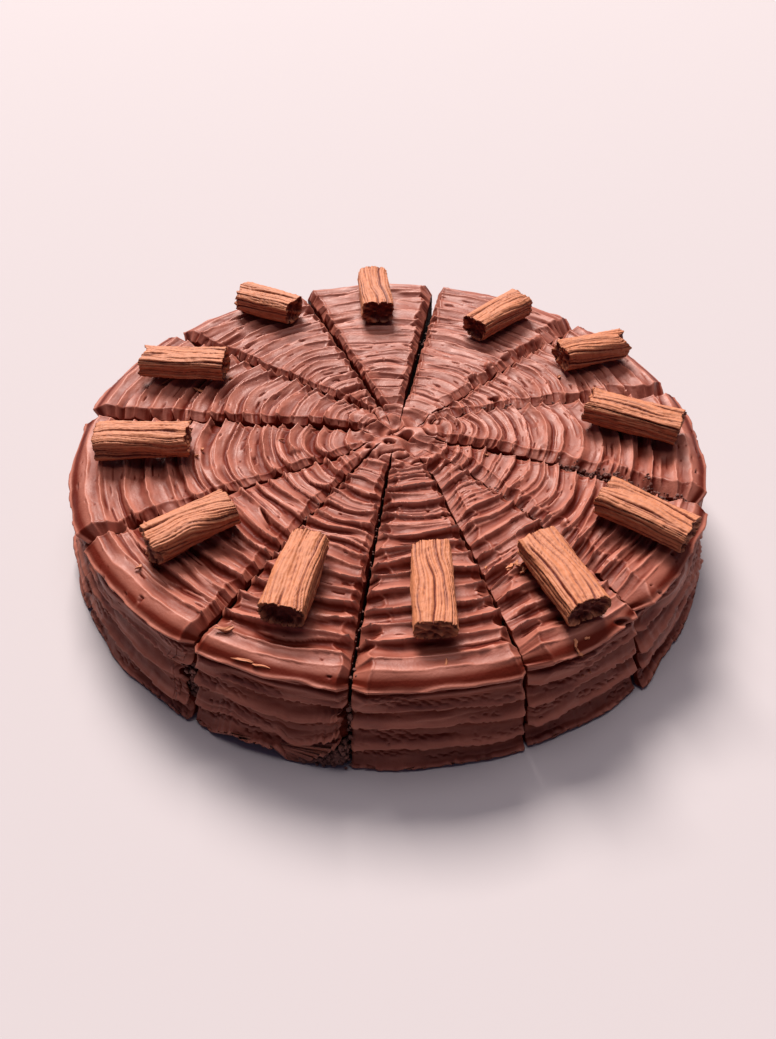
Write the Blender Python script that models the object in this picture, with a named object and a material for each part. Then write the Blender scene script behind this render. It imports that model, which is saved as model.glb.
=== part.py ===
"""Fudge cake: twelve iced slices that still stand as a whole cake, with a chocolate stick on each.

Units are metres and +Z is up. The origin is on the cake's axis, in the plane that it stands on,
and -Y is its front. Slices are numbered clockwise, seen from above, from the back left.
"""

import bmesh
import bpy
import numpy as np
from mathutils import Matrix

SLICES = 12
FIT_GAP = 0.0003

# Whole cake: a low round that flares a little towards its foot.
TOP_HEIGHT = 0.0394
TOP_RADIUS = 0.1270
FOOT_RADIUS = 0.1325
SHOULDER_RADIUS = 0.0103
ICING_THICKNESS = 0.0055
ICING_FOOT = 0.0014
SPONGE_INSET = 0.0003
SPONGE_STEP = 0.016
MERGE_WITHIN = 1e-6
HUB = np.array([0.0027, -0.0027])

# Knife cuts, clockwise: azimuth in degrees, how far the cut passes to the left of the hub, how
# far it bows further left half-way out, and its width at the hub and at the rim.
CUTS = (
    (146.6, -0.0102, 0.0000, 0.0008, 0.0012),
    (111.7, -0.0020, 0.0000, 0.0010, 0.0014),
    (80.2, 0.0008, 0.0000, 0.0016, 0.0034),
    (45.9, 0.0005, 0.0000, 0.0006, 0.0008),
    (11.3, 0.0080, 0.0040, 0.0010, 0.0009),
    (-21.1, 0.0045, 0.0040, 0.0008, 0.0010),
    (-51.7, 0.0060, 0.0045, 0.0007, 0.0007),
    (-73.7, 0.0069, 0.0000, 0.0006, 0.0007),
    (-96.7, -0.0014, 0.0000, 0.0014, 0.0024),
    (-120.0, -0.0058, 0.0000, 0.0009, 0.0010),
    (-151.9, -0.0029, 0.0000, 0.0009, 0.0010),
    (-184.6, -0.0072, 0.0000, 0.0008, 0.0010),
)
STRAIGHT_FROM = 0.024
TIP_WIDTH = 0.0026
TIP_RADIUS = 0.0052

# How far each slice stands above its neighbours, and how far its rim stands out.
SLICE_LIFTS = (
    0.0002, 0.0002, -0.0002, -0.0003, 0.0004, -0.0004,
    0.0002, 0.0000, 0.0003, -0.0002, -0.0008, 0.0006,
)
SLICE_RIMS = (
    -0.0006, -0.0010, -0.0006, -0.0010, -0.0016, -0.0004,
    0.0000, 0.0000, 0.0003, 0.0000, 0.0000, 0.0000,
)

# Combed ridges run across each slice, over the shoulder and down the side, counted by the
# distance along the profile from the slice's tip.
TOP_RUN = 0.1120
SHOULDER_RUN = SHOULDER_RADIUS * np.pi / 2
SIDE_RUN = TOP_HEIGHT - SHOULDER_RADIUS - ICING_FOOT
TIP_PITCH = 0.0048
RIM_PITCH = 0.0082
SIDE_BANDS = 4
PITCH_SPREAD = 0.22
BAND_SPREAD = 0.15
LIP_AT = 0.72
TROUGH_AT = 0.55
RIDGE_BOW = 0.0026
RIDGE_WANDER = 0.0006
WANDER_RUN = 0.007
CREST_RISE = 0.0009
CREST_SPREAD = 0.00035
RIDGE_SEED = 40

# Depth of the hollow between two crests, as a share of their distance.
TOP_HOLLOW = 0.24
SHOULDER_HOLLOW = 0.07
SIDE_HOLLOW = 0.19

# The knife drags the icing down into each cut, further on the slice's right side and most of all
# at the shoulder: (width of the dragged band, its fall) for the right and the left side.
RIGHT_EDGE = (0.0028, 0.0021)
LEFT_EDGE = (0.0020, 0.0016)
SIDE_EDGE_FALL = 0.0009
SHOULDER_WIDENING = 0.7
SHOULDER_FALL = 0.0024
SHOULDER_DRAG_BEFORE = 0.060
SHOULDER_DRAG_AFTER = 0.016
WIDEST_BAND = 0.4

# The ninth slice has lost the icing of its lower left corner, seen from the hub, and its foot edge
# stands clear of the plane further along. The sixth slice's foot is spread at its right corner.
FOOT_WAVE = 0.0004
BROKEN_SLICE = 8
BROKEN_FROM = 0.45
BROKEN_RISE = 0.0095
LIFTED_FROM = -0.75
LIFTED_TO = 0.27
LIFTED_RAMPS = (0.20, 0.06)
LIFTED_EDGE = 0.0040
SPREAD_SLICE = 5
SPREAD_FROM = -0.6
SPREAD_FOOT = 0.0035

# Sticks: middle point, length, direction in degrees, width and height.
STICKS = (
    (-0.0583, 0.0914, 0.0328, 152.8, 0.0158, 0.0115),
    (-0.0070, 0.0982, 0.0375, 95.1, 0.0156, 0.0118),
    (0.0499, 0.0811, 0.0345, 44.7, 0.0152, 0.0115),
    (0.0896, 0.0519, 0.0352, 20.5, 0.0144, 0.0115),
    (0.0973, 0.0015, 0.0395, 155.5, 0.0154, 0.0115),
    (0.0910, -0.0559, 0.0360, 141.1, 0.0162, 0.0118),
    (0.0568, -0.0858, 0.0372, 111.6, 0.0164, 0.0112),
    (0.0140, -0.0904, 0.0388, 90.1, 0.0152, 0.0095),
    (-0.0313, -0.0864, 0.0370, 78.1, 0.0158, 0.0108),
    (-0.0712, -0.0624, 0.0352, 38.2, 0.0150, 0.0116),
    (-0.0962, -0.0124, 0.0386, 2.8, 0.0156, 0.0115),
    (-0.0890, 0.0400, 0.0380, 175.4, 0.0156, 0.0115),
)
FOLDS = 18
FOLD_DEPTH = 0.09
FOLD_SWAY = 0.032
STICK_RINGS = 4
STICK_SQUARENESS = 3.2
STICK_TAPER = 0.08
STICK_SEED = 300
END_RIM = 0.38
END_RAGGED = (-0.0012, 0.0009)
END_HOLLOW = (0.0018, 0.0036)
REST_MARGIN = 0.002

ICING_COLOR = (0.115, 0.040, 0.028, 1.0)
SPONGE_COLOR = (0.020, 0.008, 0.006, 1.0)
STICK_COLOR = (0.420, 0.190, 0.100, 1.0)


def clear_scene():
    for obj in list(bpy.data.objects):
        bpy.data.objects.remove(obj, do_unlink=True)


def material(name, color, roughness):
    made = bpy.data.materials.new(name)
    made.use_nodes = True
    shader = made.node_tree.nodes["Principled BSDF"]
    shader.inputs["Base Color"].default_value = color
    shader.inputs["Roughness"].default_value = roughness
    shader.inputs["Metallic"].default_value = 0.0
    return made


def add_object(name, bm, collection, finish):
    """Closes the bmesh into a named object with one material."""
    bmesh.ops.recalc_face_normals(bm, faces=bm.faces)
    mesh = bpy.data.meshes.new(name)
    bm.to_mesh(mesh)
    bm.free()
    mesh.materials.append(finish)
    obj = bpy.data.objects.new(name, mesh)
    collection.objects.link(obj)
    return obj


def cut(number):
    """A knife cut's five values, the first one again after the last, a full turn on."""
    azimuth, *rest = CUTS[number % SLICES]
    return (azimuth - 360 * (number // SLICES), *rest)


def cut_azimuth(number, reach):
    """Azimuth about the hub, in radians, at which a cut stands at the distance reach."""
    azimuth, aside, bow, _, _ = cut(number)
    reach = np.maximum(reach, STRAIGHT_FROM)
    passed = aside + bow * np.sin(np.pi * reach / TOP_RADIUS)
    return np.radians(azimuth) + np.arcsin(passed / reach)


def half_gap(number, reach):
    _, _, _, at_hub, at_rim = cut(number)
    return (at_hub + (at_rim - at_hub) * reach / TOP_RADIUS) / 2


def azimuth_across(number, reach, across, inset=0.0):
    """Azimuth in a slice: across is 1 on its left cut and -1 on its right cut, seen from the hub."""
    left = cut_azimuth(number, reach) - np.arcsin((half_gap(number, reach) + inset) / reach)
    right = cut_azimuth(number + 1, reach) + np.arcsin((half_gap(number + 1, reach) + inset) / reach)
    return (left + right) / 2 + across * (left - right) / 2


def half_width(number, reach):
    return reach * (azimuth_across(number, reach, 1) - azimuth_across(number, reach, -1)) / 2


def reach_to(azimuth, radius):
    """Distance from the hub, along the azimuth, to the circle of this radius about the axis."""
    along = HUB[0] * np.cos(azimuth) + HUB[1] * np.sin(azimuth)
    return -along + np.sqrt(along**2 - HUB @ HUB + radius**2)


def shoulder_reach(number):
    """Distance from the axis at which a slice's top turns over into its shoulder."""
    return TOP_RADIUS + SLICE_RIMS[number] - SHOULDER_RADIUS


def tip_reach(number):
    """Distance from the hub at which a slice is wide enough to be cut icing."""
    turn = cut_azimuth(number, STRAIGHT_FROM) - cut_azimuth(number + 1, STRAIGHT_FROM)
    return max(TIP_RADIUS, TIP_WIDTH / turn)


def foot_height(number, across):
    """Height of the icing's lower edge round the side."""
    height = ICING_FOOT + FOOT_WAVE * (1 + np.sin(5 * across + 2 * number))
    if number == BROKEN_SLICE:
        rise, drop = LIFTED_RAMPS
        lifted = np.clip((across - LIFTED_FROM) / rise, 0, 1) * np.clip((LIFTED_TO - across) / drop, 0, 1)
        broken = np.clip((across - BROKEN_FROM) / (1 - BROKEN_FROM), 0, 1)
        height = height + LIFTED_EDGE * lifted + BROKEN_RISE * broken
    return height


def foot_spread(number, across):
    """How much further than the other slices' a slice's foot reaches."""
    if number != SPREAD_SLICE:
        return 0.0
    return SPREAD_FOOT * np.clip((SPREAD_FROM - across) / (SPREAD_FROM + 1), 0, 1)


def place(number, along, across, height, inset=0.0):
    """Point over a slice's profile, at the distance along from its tip and the given height.

    The profile runs level from the tip to the shoulder, round it, and down the flared side. The
    height is measured square to it.
    """
    out = np.clip(along / TOP_RUN, 0, 1)
    turn = np.clip((along - TOP_RUN) / SHOULDER_RADIUS, 0, np.pi / 2)
    down = np.clip((along - TOP_RUN - SHOULDER_RUN) / SIDE_RUN, 0, 1)
    shoulder = shoulder_reach(number)
    top = TOP_HEIGHT + SLICE_LIFTS[number] - SHOULDER_RADIUS

    edge_azimuth = azimuth_across(number, shoulder, across, inset)
    edge = reach_to(edge_azimuth, shoulder)
    tip = tip_reach(number)
    bend = 4 * out * (1 - out)
    wander = RIDGE_WANDER * np.sin(3 * across + along / WANDER_RUN + number)
    reach = tip + out * (edge - tip) + bend * (wander - RIDGE_BOW * across**2)
    azimuth = azimuth_across(number, reach, across, inset)

    flare = FOOT_RADIUS - TOP_RADIUS + foot_spread(number, across)
    radius = shoulder + (SHOULDER_RADIUS + height) * np.sin(turn) + flare * down
    on_top = out < 1
    azimuth = np.where(on_top, azimuth, edge_azimuth)
    reach = np.where(on_top, reach, reach_to(edge_azimuth, radius))
    z = top + (SHOULDER_RADIUS + height) * np.cos(turn) - down * (top - foot_height(number, across))
    x = HUB[0] + reach * np.cos(azimuth)
    y = HUB[1] + reach * np.sin(azimuth)
    return np.stack(np.broadcast_arrays(x, y, z), axis=-1)


def ridge_rows(number):
    """The profile's rows, one on each crest and one in each trough: (distance along, height)."""
    rng = np.random.default_rng(RIDGE_SEED + number)
    crests = [0.0]
    while crests[-1] < TOP_RUN:
        share = crests[-1] / TOP_RUN
        pitch = TIP_PITCH + (RIM_PITCH - TIP_PITCH) * share
        crests.append(crests[-1] + pitch * rng.uniform(1 - PITCH_SPREAD, 1 + PITCH_SPREAD))
    on_top = np.array(crests) * TOP_RUN / crests[-1]
    lip = TOP_RUN + LIP_AT * SHOULDER_RUN
    end = TOP_RUN + SHOULDER_RUN + SIDE_RUN
    shares = np.arange(1, SIDE_BANDS) + rng.uniform(-BAND_SPREAD, BAND_SPREAD, SIDE_BANDS - 1)
    crests = np.concatenate([on_top, [lip], lip + (end - lip) * shares / SIDE_BANDS, [end]])
    rises = CREST_RISE + rng.uniform(-CREST_SPREAD, CREST_SPREAD, len(crests))
    rises[[0, -1]] = 0.0
    hollows = np.full(len(crests) - 1, SIDE_HOLLOW)
    hollows[: len(on_top)] = SHOULDER_HOLLOW
    hollows[: len(on_top) - 1] = TOP_HOLLOW

    pitches = np.diff(crests)
    troughs = crests[:-1] + TROUGH_AT * pitches
    depths = (rises[:-1] + rises[1:]) / 2 - hollows * pitches
    along = np.append(np.stack([crests[:-1], troughs], axis=1), crests[-1])
    heights = np.append(np.stack([rises[:-1], depths], axis=1), rises[-1])
    return along[:, None], heights[:, None]


def dragged_edge(along, edge):
    """Width and fall of the band that the knife has dragged down beside a cut."""
    width, fall = edge
    middle = TOP_RUN + SHOULDER_RUN / 2
    before = (middle - along) / SHOULDER_DRAG_BEFORE
    after = (along - middle) / SHOULDER_DRAG_AFTER
    shoulder = np.clip(1 - np.maximum(before, after), 0, 1)
    fall = np.where(along < middle, fall, SIDE_EDGE_FALL)
    return width * (1 + SHOULDER_WIDENING * shoulder), fall + SHOULDER_FALL * shoulder


def grid_index(vertex, columns, rows):
    """Column and row of a vertex of a unit grid."""
    return round((vertex.co.x + 0.5) * columns), round((vertex.co.y + 0.5) * rows)


def add_icing(number, collection, finish):
    """The top and side icing of a slice: a sleeve round its cross-section, closed at both ends."""
    along, ridge = ridge_rows(number)
    right_width, right_fall = dragged_edge(along, RIGHT_EDGE)
    left_width, left_fall = dragged_edge(along, LEFT_EDGE)
    half = half_width(number, np.minimum(tip_reach(number) + along, TOP_RADIUS))
    right_band = np.minimum(right_width / half, WIDEST_BAND)
    left_band = np.minimum(left_width / half, WIDEST_BAND)
    ones = np.ones_like(along)
    outer = np.hstack([-ones, right_band - 1, -ones / 3, ones / 3, 1 - left_band, ones])
    heights = np.hstack([ridge / 2 - right_fall, ridge, ridge, ridge, ridge, ridge / 2 - left_fall])
    inner = np.hstack([ones, ones / 3, -ones / 3, -ones])
    over = place(number, along, outer, heights)
    under = place(number, along, inner, -ICING_THICKNESS * np.ones_like(inner))
    points = np.hstack([over, under])

    columns = points.shape[1]
    bm = bmesh.new()
    bmesh.ops.create_grid(bm, x_segments=columns, y_segments=len(along) - 1, size=0.5)
    for vertex in bm.verts:
        column, row = grid_index(vertex, columns, len(along) - 1)
        vertex.co = points[row, column % columns]
    bmesh.ops.remove_doubles(bm, verts=bm.verts, dist=MERGE_WITHIN)
    bmesh.ops.holes_fill(bm, edges=[e for e in bm.edges if e.is_boundary])
    return add_object(f"icing_{number + 1:02d}", bm, collection, finish)


def add_sponge(number, collection, finish):
    """The sponge under the icing: a sheet over its top and shoulder, drawn down to a flat foot."""
    tip = tip_reach(number)
    shoulder = shoulder_reach(number)
    steps = (np.arange(STRAIGHT_FROM, shoulder - SPONGE_STEP / 2, SPONGE_STEP) - tip) / (shoulder - tip)
    along = np.concatenate([[0.0], steps * TOP_RUN, [TOP_RUN, TOP_RUN + SHOULDER_RUN]])[:, None]
    across = np.array([[-1, -1 / 3, 1 / 3, 1]])
    depth = -(ICING_THICKNESS + FIT_GAP) * np.ones((len(along), across.shape[1]))
    points = place(number, along, across, depth, SPONGE_INSET)
    foot_azimuth = azimuth_across(number, shoulder, across[0], SPONGE_INSET)
    foot = FOOT_RADIUS + SLICE_RIMS[number] - ICING_THICKNESS - FIT_GAP
    foot_reach = reach_to(foot_azimuth, foot)

    columns = across.shape[1] - 1
    rows = len(along) - 1
    bm = bmesh.new()
    bmesh.ops.create_grid(bm, x_segments=columns, y_segments=rows, size=0.5)
    for vertex in bm.verts:
        column, row = grid_index(vertex, columns, rows)
        vertex.co = points[row, column]
    drawn = bmesh.ops.extrude_face_region(bm, geom=bm.faces[:])["geom"]
    last = {tuple(np.round(points[rows, c], 6)): c for c in range(columns + 1)}
    for vertex in (v for v in drawn if isinstance(v, bmesh.types.BMVert)):
        column = last.get(tuple(np.round(vertex.co, 6)))
        if column is not None:
            vertex.co.x = HUB[0] + foot_reach[column] * np.cos(foot_azimuth[column])
            vertex.co.y = HUB[1] + foot_reach[column] * np.sin(foot_azimuth[column])
        vertex.co.z = 0.0
    return add_object(f"sponge_{number + 1:02d}", bm, collection, finish)


def resting_height(icings, turned, length, width):
    """Highest point of the icing under a stick's footprint."""
    reach = length / 2 + REST_MARGIN
    aside = width / 2 + REST_MARGIN
    back = turned.inverted()
    highest = 0.0
    for icing in icings:
        for vertex in icing.data.vertices:
            local = back @ vertex.co
            if abs(local.x) < reach and abs(local.y) < aside:
                highest = max(highest, vertex.co.z)
    return highest


def add_stick(number, icings, collection, finish):
    """A folded stick: a ringed tube of lengthwise folds with ragged, hollowed ends."""
    x, y, length, direction, width, height = STICKS[number]
    rng = np.random.default_rng(STICK_SEED + number)
    folds = rng.uniform(-1, 1, FOLDS) * FOLD_DEPTH + FOLD_DEPTH * np.cos(np.pi * np.arange(FOLDS))
    sway = rng.uniform(-1, 1, (STICK_RINGS + 2, FOLDS)) * FOLD_SWAY
    ragged = rng.uniform(*END_RAGGED, (2, FOLDS))
    hollow = rng.uniform(*END_HOLLOW, 2)
    taper = rng.uniform(-STICK_TAPER, STICK_TAPER)
    power = STICK_SQUARENESS

    bm = bmesh.new()
    bmesh.ops.create_cone(bm, cap_ends=True, segments=FOLDS, radius1=1, radius2=1, depth=1)
    caps = [face for face in bm.faces if len(face.verts) == FOLDS]
    bmesh.ops.inset_individual(bm, faces=caps, thickness=END_RIM)
    caps = [face for face in bm.faces if len(face.verts) == FOLDS]
    bmesh.ops.poke(bm, faces=caps)
    sides = [edge for edge in bm.edges if abs(edge.verts[0].co.z - edge.verts[1].co.z) > 0.9]
    bmesh.ops.subdivide_edges(bm, edges=sides, cuts=STICK_RINGS)

    for vertex in bm.verts:
        angle = np.arctan2(vertex.co.y, vertex.co.x)
        fold = round(angle / (2 * np.pi) * FOLDS) % FOLDS
        ring = round((vertex.co.z + 0.5) * (STICK_RINGS + 1))
        out = min(np.hypot(vertex.co.x, vertex.co.y), 1.0)
        squared = (np.abs(np.cos(angle)) ** power + np.abs(np.sin(angle)) ** power) ** (-1 / power)
        size = out * squared * (1 + folds[fold] + sway[ring, fold]) * (1 + taper * vertex.co.z)
        end = 2 * abs(vertex.co.z) > 0.99
        far = int(vertex.co.z > 0)
        lengthwise = vertex.co.z * length
        if end:
            lengthwise += np.sign(vertex.co.z) * (ragged[far, fold] * out - hollow[far] * (1 - out))
        vertex.co = (lengthwise, size * np.cos(angle), size * np.sin(angle))

    widest = max(abs(vertex.co.y) for vertex in bm.verts)
    tallest = max(abs(vertex.co.z) for vertex in bm.verts)
    shape = Matrix.Diagonal((1, width / 2 / widest, height / 2 / tallest, 1))
    bmesh.ops.transform(bm, matrix=shape, verts=bm.verts)

    turned = Matrix.Translation((x, y, 0)) @ Matrix.Rotation(np.radians(direction), 4, "Z")
    lowest = min(vertex.co.z for vertex in bm.verts)
    rest = resting_height(icings, turned, length, width) + FIT_GAP - lowest
    bmesh.ops.transform(bm, matrix=Matrix.Translation((0, 0, rest)) @ turned, verts=bm.verts)
    return add_object(f"stick_{number + 1:02d}", bm, collection, finish)


clear_scene()
cake = bpy.data.collections.new("fudge_cake")
bpy.context.scene.collection.children.link(cake)
icing_finish = material("icing", ICING_COLOR, 0.42)
sponge_finish = material("sponge", SPONGE_COLOR, 0.90)
stick_finish = material("stick_chocolate", STICK_COLOR, 0.60)

iced = [add_icing(number, cake, icing_finish) for number in range(SLICES)]
for number in range(SLICES):
    add_sponge(number, cake, sponge_finish)
    add_stick(number, iced, cake, stick_finish)
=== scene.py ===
"""Fudge cake cut into twelve slices: combed chocolate icing over dark sponge, a folded chocolate stick
on each slice. Metres, +Z up, seen from -Y. Slices are numbered clockwise from the back left.
"""

import bmesh
import bpy
import numpy as np
from mathutils import Matrix, Vector


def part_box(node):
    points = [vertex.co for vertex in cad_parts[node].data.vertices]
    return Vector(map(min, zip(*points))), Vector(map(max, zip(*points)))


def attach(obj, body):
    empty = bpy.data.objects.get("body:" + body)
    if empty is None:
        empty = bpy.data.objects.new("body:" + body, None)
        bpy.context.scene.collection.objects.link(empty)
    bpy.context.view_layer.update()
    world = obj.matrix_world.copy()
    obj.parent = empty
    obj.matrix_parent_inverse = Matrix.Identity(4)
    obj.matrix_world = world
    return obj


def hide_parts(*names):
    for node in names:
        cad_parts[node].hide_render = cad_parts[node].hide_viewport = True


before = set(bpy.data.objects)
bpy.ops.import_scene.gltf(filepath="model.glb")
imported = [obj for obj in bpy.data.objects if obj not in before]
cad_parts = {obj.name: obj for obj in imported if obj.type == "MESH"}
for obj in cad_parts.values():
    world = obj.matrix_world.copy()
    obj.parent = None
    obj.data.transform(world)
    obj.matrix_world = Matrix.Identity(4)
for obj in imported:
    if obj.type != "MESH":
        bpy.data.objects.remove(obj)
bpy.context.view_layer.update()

# Icing: twelve shells of satin fudge icing, over the top and down the outer side of each slice. It
# was combed into ridges round the cake, and the knife then cut it and dragged it down at each cut.
# Each shell is a sphere's net, drawn out into a sleeve round the cross-section of its slice.

SLICES = 12
HUB = np.array([0.0027, -0.0027])
HUB_REACH = 0.0006
TOP_HEIGHT = 0.0394
TOP_RADIUS = 0.1270
FOOT_RADIUS = 0.1325
SHOULDER_RADIUS = 0.0103
SHOULDER_CORNER = 0.0080
ICING_THICKNESS = 0.0055
ICING_FOOT = 0.0009
FOOT_RAGGEDNESS = 0.0004

# Knife cuts: azimuth in degrees, how far the cut passes to the left of the hub, how far it bows
# further left half-way out, its width at the hub and at the rim, and the distance from the hub
# within which the icing is smeared shut over it.
CUTS = (
    (146.6, -0.0102, 0.0000, 0.0008, 0.0012, 0.026),
    (111.7, -0.0020, 0.0000, 0.0010, 0.0014, 0.026),
    (80.2, 0.0008, 0.0000, 0.0014, 0.0028, 0.034),
    (45.9, 0.0005, 0.0000, 0.0006, 0.0008, 0.040),
    (11.3, 0.0080, 0.0040, 0.0010, 0.0009, 0.026),
    (-21.1, 0.0045, 0.0040, 0.0008, 0.0010, 0.022),
    (-51.7, 0.0060, 0.0045, 0.0007, 0.0007, 0.025),
    (-73.7, 0.0069, 0.0000, 0.0006, 0.0007, 0.023),
    (-96.7, -0.0014, 0.0000, 0.0010, 0.0008, 0.022),
    (-120.0, -0.0058, 0.0000, 0.0009, 0.0010, 0.013),
    (-151.9, -0.0029, 0.0000, 0.0009, 0.0010, 0.020),
    (-184.6, -0.0072, 0.0000, 0.0008, 0.0010, 0.014),
)
STRAIGHT_FROM = 0.024
SHUT_SHARE = 0.55
INSET_FROM = 0.006
INSET_FULL = 0.016
TIP_WIDTH = 0.0026
TIP_RADIUS = 0.0052

# How much higher and how much further out each slice's rim is than the plain cake's. All slices
# are level near the hub, and have their own height past OWN_LEVEL.
SLICE_LIFTS = (
    0.0002, 0.0002, -0.0002, -0.0003, 0.0004, -0.0004,
    0.0002, 0.0000, 0.0003, -0.0002, -0.0008, 0.0006,
)
SLICE_RIMS = (
    -0.0006, -0.0010, -0.0006, -0.0010, -0.0016, -0.0004,
    0.0000, 0.0000, 0.0003, 0.0000, 0.0000, 0.0000,
)
SAME_LEVEL = 0.006
OWN_LEVEL = 0.030

# The ridges are counted by the distance along the profile: out over the top, round the shoulder
# and down the side.
TOP_RUN = 0.1120
SHOULDER_RUN = SHOULDER_RADIUS * np.pi / 2
SIDE_RUN = TOP_HEIGHT - SHOULDER_RADIUS - 0.0014
SHOULDER_END = TOP_RUN + SHOULDER_RUN
WHOLE_RUN = SHOULDER_END + SIDE_RUN
ROLL_RUN = TOP_RUN + 0.22 * SHOULDER_RUN
LIP_RUN = TOP_RUN + 0.62 * SHOULDER_RUN
TIP_PITCH = 0.0048
RIM_PITCH = 0.0082
SIDE_BANDS = 4
PITCH_SPREAD = 0.22
BAND_SPREAD = 0.15
RIDGE_BOWS = (
    0.0026, 0.0010, 0.0010, 0.0026, 0.0030, 0.0010,
    -0.0014, -0.0018, -0.0014, 0.0000, 0.0026, 0.0026,
)
RIDGE_WANDER = 0.0006
WANDER_LENGTH = 0.007
RIDGE_SEED = 40
CREST_RISE = 0.0009
CREST_SPREAD = 0.00035
LAST_CREST_RISE = 0.0004
BEFORE_ROLL = 0.0010

# How deep the hollows between the crests are, as a share of the distance between the crests.
TOP_HOLLOWS = (0.25, 0.14, 0.12, 0.19, 0.26, 0.29, 0.31, 0.34, 0.33, 0.32, 0.28, 0.28)
ROLL_HOLLOW = 0.20
SHOULDER_HOLLOW = 0.07
SIDE_HOLLOW = 0.32
SIDE_SINK = 0.0010

# The ninth slice's foot, from -1 at its right cut to 1 at its left one: it is lifted off the ground
# between two places, and broken away from a third one on. The sixth slice's foot is spread outward.
BROKEN_SLICE = 8
LIFTED_FROM = -0.75
LIFTED_TO = 0.27
LIFT_IN = 0.2
LIFT_OUT = 0.06
LIFT_HEIGHT = 0.0042
BROKEN_FROM = 0.45
BREAK_HEIGHT = 0.0105
SPREAD_SLICE = 5
SPREAD_TO = -0.6
SPREAD_REACH = 0.0033

OUTER_COLUMNS = 96
WALL_COLUMNS = 5
INNER_COLUMNS = 6
HUB_ROWS = 18
PROFILE_ROWS = 480
EDGE_CROWDING = 1.25


def lumps(*axes, seed=0.0):
    """Smooth noise between -1 and 1; x / 0.006 counts x in lumps of 6 mm, and so on each axis."""
    axes = np.broadcast_arrays(*axes)
    corners = [np.floor(axis) for axis in axes]
    parts = [axis - corner for axis, corner in zip(axes, corners)]
    parts = [part * part * (3 - 2 * part) for part in parts]
    total = np.zeros(axes[0].shape)
    for steps in np.ndindex(*(2,) * len(axes)):
        key = 7.13 * seed + sum(k * (c + s) for k, c, s in zip((127.1, 311.7, 74.7), corners, steps))
        share = np.ones(axes[0].shape)
        for part, step in zip(parts, steps):
            share *= part if step else 1 - part
        total += share * np.modf(np.sin(key) * 43758.5453)[0]
    return total


def ease(value, start, end):
    """Smooth step from 0 at start to 1 at end."""
    share = np.clip((value - start) / (end - start), 0, 1)
    return share * share * (3 - 2 * share)


def cut(number):
    """A knife cut's six values, the first one again after the last, a full turn on."""
    azimuth, *rest = CUTS[number % SLICES]
    return (azimuth - 360 * (number // SLICES), *rest)


def cut_azimuth(number, reach):
    """Azimuth about the hub, in radians, at which a cut stands at the distance reach."""
    azimuth, aside, bow, _, _, _ = cut(number)
    reach = np.maximum(reach, STRAIGHT_FROM)
    passed = aside + bow * np.sin(np.pi * reach / TOP_RADIUS)
    return np.radians(azimuth) + np.arcsin(passed / reach)


def opened(number, reach):
    """How far a cut is open: 0 where the icing is smeared shut over it, 1 further out."""
    shut = cut(number)[5]
    return ease(reach, SHUT_SHARE * shut, shut)


def half_gap(number, reach):
    """Half the cut's width."""
    _, _, _, at_hub, at_rim, _ = cut(number)
    return (at_hub + (at_rim - at_hub) * reach / TOP_RADIUS) / 2 * opened(number, reach)


def azimuth_across(number, reach, across, inset=0.0):
    """Azimuth in a slice: across is 1 on its left cut and -1 on its right cut, seen from the hub."""
    inset = inset * ease(reach, INSET_FROM, INSET_FULL)
    left = cut_azimuth(number, reach) - np.arcsin((half_gap(number, reach) + inset) / reach)
    right = cut_azimuth(number + 1, reach) + np.arcsin((half_gap(number + 1, reach) + inset) / reach)
    return (left + right) / 2 + across * (left - right) / 2


def half_width(number, reach):
    """Half a slice's width at the distance reach from the hub."""
    return reach * (azimuth_across(number, reach, 1) - azimuth_across(number, reach, -1)) / 2


def reach_to(azimuth, radius):
    """Distance from the hub, along the azimuth, to the circle of this radius about the axis."""
    along = HUB[0] * np.cos(azimuth) + HUB[1] * np.sin(azimuth)
    return -along + np.sqrt(along**2 - HUB @ HUB + radius**2)


def shoulder_reach(number):
    """Distance from the axis at which a slice's top turns over into its shoulder."""
    return TOP_RADIUS + SLICE_RIMS[number] - SHOULDER_RADIUS


def tip_reach(number):
    """Distance from the hub at which the count along the profile starts."""
    turn = cut_azimuth(number, STRAIGHT_FROM) - cut_azimuth(number + 1, STRAIGHT_FROM)
    return max(TIP_RADIUS, TIP_WIDTH / turn)


def foot_height(number, across):
    """Height of the icing's ragged lower edge."""
    coarse = 1 + lumps(across * 9, seed=number)
    fine = 1 + lumps(across * 30, seed=number)
    height = ICING_FOOT + FOOT_RAGGEDNESS * coarse * fine
    if number == BROKEN_SLICE:
        lifted = np.clip((across - LIFTED_FROM) / LIFT_IN, 0, 1)
        lifted = lifted * np.clip((LIFTED_TO - across) / LIFT_OUT, 0, 1)
        broken = np.clip((across - BROKEN_FROM) / (1 - BROKEN_FROM), 0, 1)
        ragged = 1 + 0.25 * lumps(across * 16, seed=5) + 0.2 * lumps(across * 45, seed=6)
        height = height + (LIFT_HEIGHT * lifted + BREAK_HEIGHT * broken) * ragged
    return height


def foot_spread(number, across):
    """How much further than the other slices' a slice's foot reaches."""
    if number != SPREAD_SLICE:
        return 0.0
    return SPREAD_REACH * np.clip((SPREAD_TO - across) / (1 + SPREAD_TO), 0, 1)


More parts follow.
